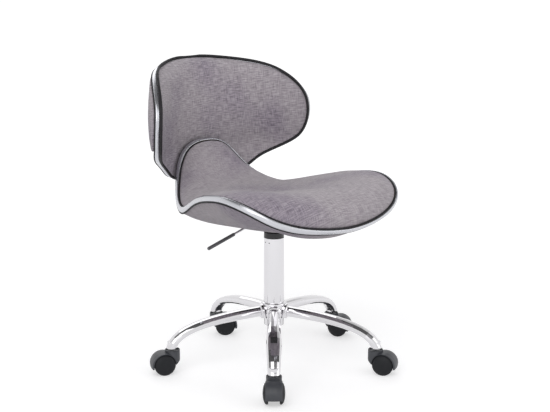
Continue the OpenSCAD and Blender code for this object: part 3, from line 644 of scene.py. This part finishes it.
def cut(piece, cutter):
    """Takes the cutter's solid out of a piece and removes the cutter."""
    modifier = piece.modifiers.new("cut", "BOOLEAN")
    modifier.operation = "DIFFERENCE"
    modifier.solver = "EXACT"
    modifier.object = cutter
    shown = piece.evaluated_get(bpy.context.evaluated_depsgraph_get())
    mesh = bpy.data.meshes.new_from_object(shown)
    piece.modifiers.clear()
    old = piece.data
    piece.data = mesh
    bpy.data.meshes.remove(old)
    bpy.data.objects.remove(cutter)


def block(low, high, turn=None):
    """A plain block for cutting, between two corners; turn is its rotation and its place."""
    bm = bmesh.new()
    bmesh.ops.create_cube(bm, size=1)
    low, high = Vector(low), Vector(high)
    for vertex in bm.verts:
        vertex.co = Vector(((low[i] + high[i]) / 2 + vertex.co[i] * (high[i] - low[i])
                            for i in range(3)))
    mesh = bpy.data.meshes.new("cutter")
    bm.to_mesh(mesh)
    bm.free()
    obj = link(bpy.data.objects.new("cutter", mesh))
    if turn:
        obj.rotation_euler, obj.location = turn
    return obj


for piece in (seat_cushion, seat_under, back_cushion, rear_cushion):
    inflate(piece)

well_half = 75 * mm
cut_past = 60 * mm
slot_half = 6.5 * mm
slot_start = 20 * mm
slot_end = 130 * mm
lever_pin = Vector((-45 * mm, 0, 369.61 * mm))
lever_fall = math.atan(0.297)
lever_swing = math.radians(4)
cut(seat_under, block((-well_half, -well_half, plate_top - cut_past),
                      (well_half, well_half, plate_top + cut_past)))
cut(seat_under, block((-cut_past, -slot_half, slot_start), (slot_half, slot_half, slot_end),
                      ((0, lever_swing - math.pi / 2 - lever_fall, 0), lever_pin)))

for piece, node in ((seat_cushion, "seat_cushion"), (seat_under, "seat_underside"),
                    (back_cushion, "back_cushion"), (rear_cushion, "back_rear_cushion")):
    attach(piece, "seat")
    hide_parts(node)


# Trim and piping
trim_proud = 1 * mm
trim_round = 3.4 * mm
trim_corner = 0.6 * mm
seat_lip = 8.6 * mm
back_lip = 5.6 * mm
back_heel = 5.4 * mm
back_cord_sunk = 1.4 * mm
cord_squeeze = 0.35
cord_sides = 12


def trim_section(above, below):
    """A half-round moulding: a flat inner face and a full round outside. above and below are
    how far it stands over the board's middle, on the sitter's side and behind."""
    front = [(trim_proud - trim_round * (1 - math.cos(a)),
              (above if a > 0 else below) * math.sin(a))
             for a in np.linspace(-math.pi / 2, math.pi / 2, 17)]
    inner = trim_proud - trim_t
    return [(inner, trim_corner - below), *front, (inner, above - trim_corner)]


def wire(tree, *pairs):
    """Joins each pair of sockets."""
    for start, end in pairs:
        tree.links.new(start, end)


def cord_tree():
    """Geometry nodes that sweep a round cord along a closed path of edges."""
    tree = bpy.data.node_groups.new("piping cord", "GeometryNodeTree")
    for name, kind in (("Path", "NodeSocketGeometry"), ("Radius", "NodeSocketFloat"),
                       ("Sides", "NodeSocketInt"), ("Material", "NodeSocketMaterial")):
        tree.interface.new_socket(name, in_out="INPUT", socket_type=kind)
    tree.interface.new_socket("Cord", in_out="OUTPUT", socket_type="NodeSocketGeometry")
    new = tree.nodes.new
    start, end = new("NodeGroupInput"), new("NodeGroupOutput")
    girth = new("GeometryNodeInputNamedAttribute")
    girth.inputs["Name"].default_value = "girth"
    line, profile = new("GeometryNodeMeshToCurve"), new("GeometryNodeCurvePrimitiveCircle")
    sweep, smooth = new("GeometryNodeCurveToMesh"), new("GeometryNodeSetShadeSmooth")
    real, paint = new("GeometryNodeRealizeInstances"), new("GeometryNodeSetMaterial")
    wire(tree, (start.outputs["Path"], line.inputs["Mesh"]),
         (start.outputs["Radius"], profile.inputs["Radius"]),
         (start.outputs["Sides"], profile.inputs["Resolution"]),
         (line.outputs["Curve"], sweep.inputs["Curve"]),
         (profile.outputs["Curve"], sweep.inputs["Profile Curve"]),
         (girth.outputs["Attribute"], sweep.inputs["Scale"]),
         (sweep.outputs["Mesh"], smooth.inputs["Geometry"]),
         (smooth.outputs["Geometry"], real.inputs["Geometry"]),
         (real.outputs["Geometry"], paint.inputs["Geometry"]),
         (start.outputs["Material"], paint.inputs["Material"]),
         (paint.outputs["Geometry"], end.inputs["Cord"]))
    return tree


def grown(name, points, edges, tree, girth, **values):
    """A plain mesh object from what a node tree makes of points and edges."""
    mesh = bpy.data.meshes.new(name)
    mesh.from_pydata(np.asarray(points).tolist(), edges, [])
    mesh.attributes.new("girth", "FLOAT", "POINT").data.foreach_set("value", girth)
    seed = link(bpy.data.objects.new(name, mesh))
    nodes = seed.modifiers.new("nodes", "NODES")
    nodes.node_group = tree
    for socket in tree.interface.items_tree:
        if socket.name in values:
            nodes[socket.identifier] = values[socket.name]
    shown = seed.evaluated_get(bpy.context.evaluated_depsgraph_get())
    seed.data = bpy.data.meshes.new_from_object(shown)
    seed.modifiers.remove(nodes)
    bpy.data.meshes.remove(mesh)
    return seed


def add_piping(board, node, side, base, radius, inset, girth=None):
    """A cord along a board's rim, at an inset from it and lying on a base height off the board's
    middle; side is 1 on the sitter's side and -1 behind. girth is a share of the radius for each
    point of the rim."""
    rim, out = board.rim()
    count = len(rim)
    girth = np.ones(count) if girth is None else girth
    path = board.at(*(rim - inset * out).T, side * (base + girth * radius))
    edges = [(i, (i + 1) % count) for i in range(count)]
    cord = grown(f"{node}_cord", path, edges, CORD_TREE, girth, Radius=radius, Sides=cord_sides,
                 Material=PIPING)
    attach(cord, "seat")
    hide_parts(node)


def add_trim(board, part, above, below):
    """The moulding round a board's rim."""
    trim = swept_rim(board, f"{part}_chrome_trim", trim_section(above, below), MOULDING)
    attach(trim, "seat")
    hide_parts(f"{part}_trim")


CORD_TREE = cord_tree()
add_trim(SEAT, "seat", seat_lip, trim_h / 2)
add_trim(BACK, "back", back_lip, back_heel)
slim = 1 - cord_squeeze * seat_tuck(SEAT.rim()[0][:, 1] / SEAT.length)
add_piping(SEAT, "seat_piping_top", 1, seat_ply / 2 + lie_gap, radius=2.3 * mm, inset=6.5 * mm,
           girth=slim)
add_piping(SEAT, "seat_piping_bottom", -1, trim_h / 2 + lie_gap, radius=1.7 * mm, inset=2.6 * mm)
add_piping(BACK, "back_piping_front", 1, back_lip - back_cord_sunk, radius=3.6 * mm,
           inset=-1.5 * mm)
add_piping(BACK, "back_piping_rear", -1, back_heel, radius=1.5 * mm, inset=3 * mm)

cover_inset = 4.3 * mm
cover_rings = np.array([1, 0.97, 0.9, 0.8, 0.68, 0.55, 0.4, 0.25, 0.12])


def covered_board():
    """The back's board, wrapped in the same cloth."""
    rim, out = BACK.rim()
    count = len(rim)
    middle = count // 2
    medial = BACK.medial(rim)
    rings = [medial + share * (rim - cover_inset * out - medial) for share in cover_rings]
    sheets = [(place, side) for group in (rings, [medial[:middle + 1]])
              for side in (1, -1) for place in group]
    points = [BACK.at(*place.T, np.full(len(place), side * back_ply / 2))
              for place, side in sheets]
    rows = point_rows(2 * len(rings), count)
    first = len(rows) * count
    front = rows[:len(rings)] + [spine_row(first, middle)]
    rear = rows[len(rings):] + [spine_row(first + middle + 1, middle)]
    faces = ring_faces(front) + [f[::-1] for f in ring_faces(rear)]
    faces += ring_faces([rear[0], front[0]])
    board = make_mesh("back_covered_board", np.vstack(points), faces, WEAVE,
                      np.vstack([place for place, _ in sheets]))
    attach(board, "seat")
    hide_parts("back_shell")


covered_board()


# Room: a pale floor, a white backdrop under a darker ceiling, and soft lamps
world_light = 0.55
backdrop_light = 1.0
ceiling_light = 0.12
ceiling_from = 0.42
ceiling_full = 0.72
floor_half = 40
floor_lift_near = 0.47
floor_lift_far = 0.71
floor_near = 1.0
floor_far = 6.0


def seen_rays(tree):
    """1 for rays of the camera, of gloss and of glass, and 0 for those that carry light."""
    path = tree.nodes.new("ShaderNodeLightPath")
    value = path.outputs["Is Camera Ray"]
    for name in ("Is Glossy Ray", "Is Transmission Ray"):
        most = tree.nodes.new("ShaderNodeMath")
        most.operation = "MAXIMUM"
        tree.links.new(value, most.inputs[0])
        tree.links.new(path.outputs[name], most.inputs[1])
        value = most.outputs[0]
    return value


def make_floor():
    """A pale floor that glows to the camera and to gloss, so that it looks white but keeps the
    chair's shadow."""
    f = Finish("pale floor", (0.66, 0.66, 0.67), 0.9)
    f.link(f.mix(f.noise(f.place(), 2.0, 2), (0.65, 0.65, 0.66), (0.68, 0.68, 0.685)),
           "Base Color")
    f.shader.inputs["Specular IOR Level"].default_value = 0.0
    f.shader.inputs["Emission Color"].default_value = (1, 1, 1, 1)
    away = f.node("ShaderNodeVectorMath", _0=f.place())
    away.operation = "LENGTH"
    lift = f.span(away.outputs["Value"], floor_near, floor_far, floor_lift_near, floor_lift_far)
    f.link(f.math("MULTIPLY", seen_rays(f.tree), lift), "Emission Strength")
    mesh = bpy.data.meshes.new("floor")
    corners = [(x, y, 0) for x, y in ((-floor_half, -floor_half), (floor_half, -floor_half),
                                      (floor_half, floor_half), (-floor_half, floor_half))]
    mesh.from_pydata(corners, [], [(0, 1, 2, 3)])
    mesh.materials.append(f.material)
    link(bpy.data.objects.new("floor", mesh))


def make_world():
    """Even light; what gloss and the camera see is white low down and darker overhead."""
    world = bpy.data.worlds.new("studio")
    bpy.context.scene.world = world
    world.use_nodes = True
    tree = world.node_tree
    place = tree.nodes.new("ShaderNodeTexCoord")
    parts = tree.nodes.new("ShaderNodeSeparateXYZ")
    ceiling = tree.nodes.new("ShaderNodeMapRange")
    strength = tree.nodes.new("ShaderNodeMix")
    tree.links.new(place.outputs["Generated"], parts.inputs["Vector"])
    tree.links.new(parts.outputs["Z"], ceiling.inputs["Value"])
    for name, value in (("From Min", ceiling_from), ("From Max", ceiling_full),
                        ("To Min", backdrop_light), ("To Max", ceiling_light)):
        ceiling.inputs[name].default_value = value
    tree.links.new(seen_rays(tree), strength.inputs[0])
    strength.inputs[2].default_value = world_light
    tree.links.new(ceiling.outputs["Result"], strength.inputs[3])
    tree.links.new(strength.outputs[0], tree.nodes["Background"].inputs["Strength"])
    tree.nodes["Background"].inputs["Color"].default_value = (1, 1, 1, 1)


def make_lamp(name, place, aim, size, power):
    """A soft box that points at aim. Its size is in metres and its power in watts."""
    data = bpy.data.lights.new(name, "AREA")
    data.shape = "RECTANGLE"
    data.size, data.size_y = size
    data.energy = power
    lamp = link(bpy.data.objects.new(name, data))
    lamp.location = place
    lamp.rotation_euler = (Vector(aim) - Vector(place)).to_track_quat("-Z", "Y").to_euler()


make_floor()
make_world()
make_lamp("key", (-2.6, -1.6, 2.6), (0, 0, 0.45), (3.4, 3.4), 60)
make_lamp("fill", (1.8, -2.8, 1.8), (0, 0, 0.45), (3.2, 2.4), 26)
make_lamp("rim", (1.2, 2.6, 2.6), (0, 0, 0.5), (3.4, 2.4), 28)

bpy.context.scene.view_settings.view_transform = "Standard"
